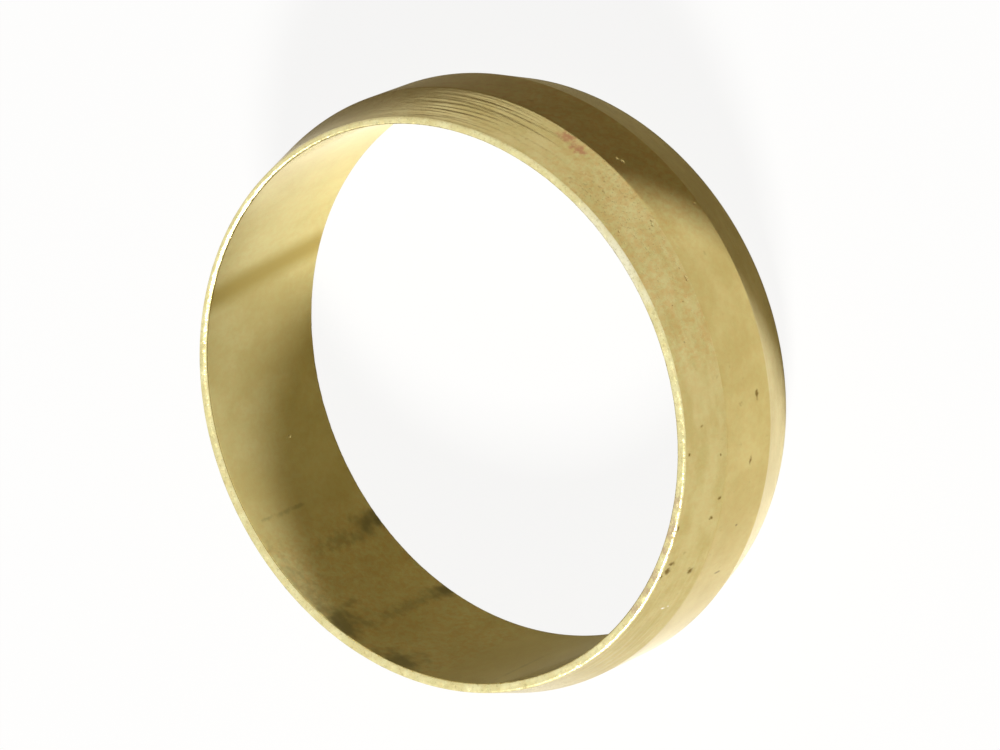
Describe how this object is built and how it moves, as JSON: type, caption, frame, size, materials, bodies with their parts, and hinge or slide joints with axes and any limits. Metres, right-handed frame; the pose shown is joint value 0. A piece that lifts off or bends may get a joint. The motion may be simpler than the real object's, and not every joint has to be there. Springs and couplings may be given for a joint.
{
  "type": "compression olive",
  "caption": "Brass ring with a plain bore, a cylindrical band round the middle and a cone at each end, squeezed between a nut and a fitting body to seal a pipe.",
  "frame": {"origin": "centre of the lower end face, on the bore's axis", "axes": "+Z along the bore's axis, from the lower end face to the upper one; the ring is round, so X and Y are free"},
  "size_m": [0.0305, 0.0304, 0.009],
  "materials": {
    "brass": "turned cones, smooth drawn band and bore, lightly stained"
  },
  "bodies": {
    "root": {"olive": "brass"}
  },
  "joints": []
}
